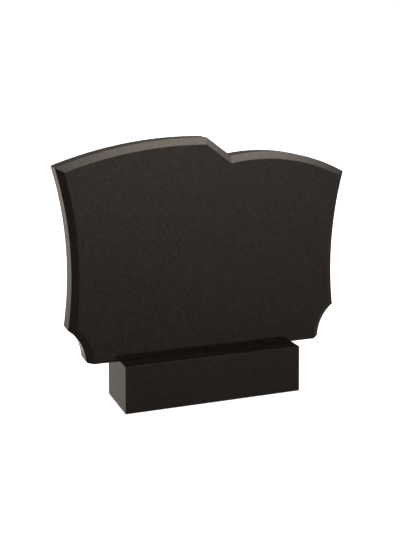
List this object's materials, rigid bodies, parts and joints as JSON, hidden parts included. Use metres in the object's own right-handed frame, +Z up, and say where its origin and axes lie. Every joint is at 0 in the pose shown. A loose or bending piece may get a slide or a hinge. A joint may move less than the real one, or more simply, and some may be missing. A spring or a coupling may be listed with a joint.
{
  "type": "headstone",
  "caption": "Polished dark granite headstone: an upright bevelled slab with a stepped, arched top and hollowed sides, standing on a plain block plinth.",
  "frame": {"origin": "middle of the plinth's underside, on the ground", "axes": "+X along the width, to the right of someone who faces the stone; +Y from the inscription face to the back; +Z up"},
  "size_m": [1, 0.2, 0.8508],
  "materials": {
    "stele_granite": "polished",
    "plinth_granite": "polished"
  },
  "bodies": {
    "root": {"stele": "stele_granite", "plinth": "plinth_granite"}
  },
  "joints": []
}
